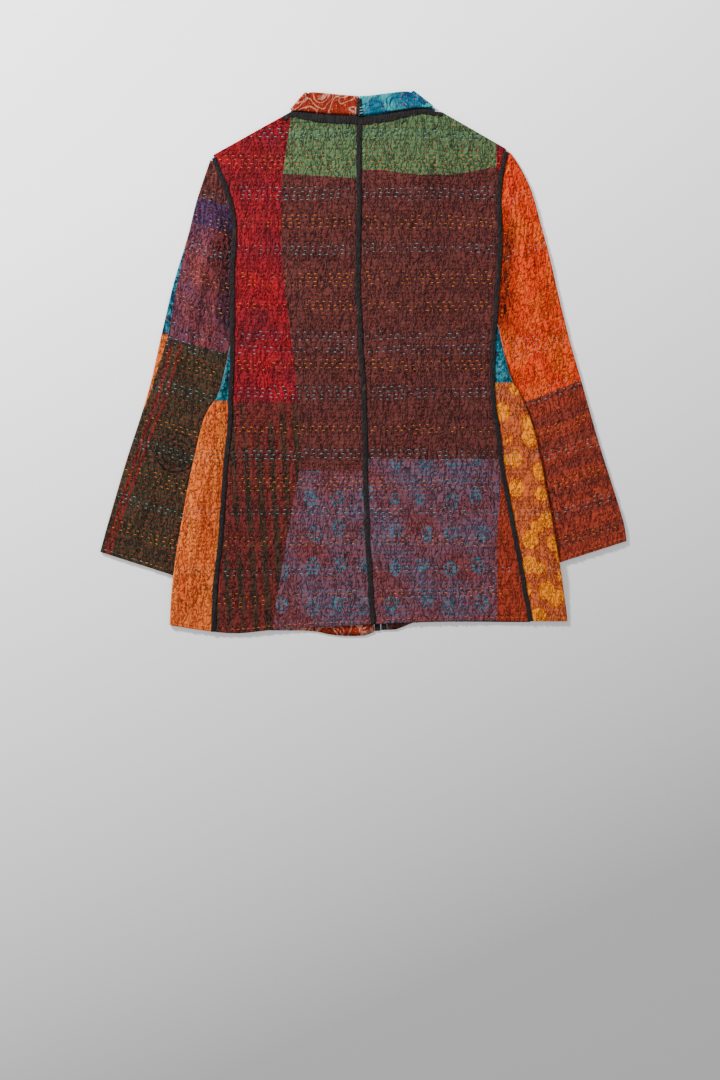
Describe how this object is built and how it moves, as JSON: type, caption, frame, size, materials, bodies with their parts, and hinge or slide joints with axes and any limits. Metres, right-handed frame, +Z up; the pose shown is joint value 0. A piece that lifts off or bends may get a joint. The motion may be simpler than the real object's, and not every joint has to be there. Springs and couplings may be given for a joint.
{
  "type": "kantha jacket",
  "caption": "Quilted patchwork jacket with a turned-down collar and long sleeves, laid flat on its front with its back up.",
  "frame": {"origin": "middle of the jacket's box in plan, on the surface that it lies on", "axes": "+Z up from the surface to the back of the jacket, +Y from hem to collar, +X to the wearer's right"},
  "size_m": [0.7526, 0.778, 0.0101],
  "materials": {
    "back_left": "matt quilted cotton",
    "back_right": "matt quilted cotton",
    "side_left": "matt quilted cotton",
    "side_right": "matt quilted cotton",
    "sleeve_left": "matt quilted cotton",
    "sleeve_right": "matt quilted cotton",
    "front": "matt quilted cotton",
    "collar_left": "matt quilted cotton",
    "collar_right": "matt quilted cotton",
    "binding": "matt quilted cotton"
  },
  "bodies": {
    "root": {"back_left": "back_left", "back_right": "back_right", "side_left": "side_left", "side_right": "side_right", "front_left": "front", "front_right": "front", "sleeve_left": "sleeve_left", "sleeve_right": "sleeve_right", "collar_left": "collar_left", "collar_right": "collar_right", "binding_centre_back": "binding", "binding_back_left": "binding", "binding_back_right": "binding", "binding_neck": "binding", "binding_collar": "binding", "binding_front_left": "binding", "binding_front_right": "binding"}
  },
  "joints": []
}
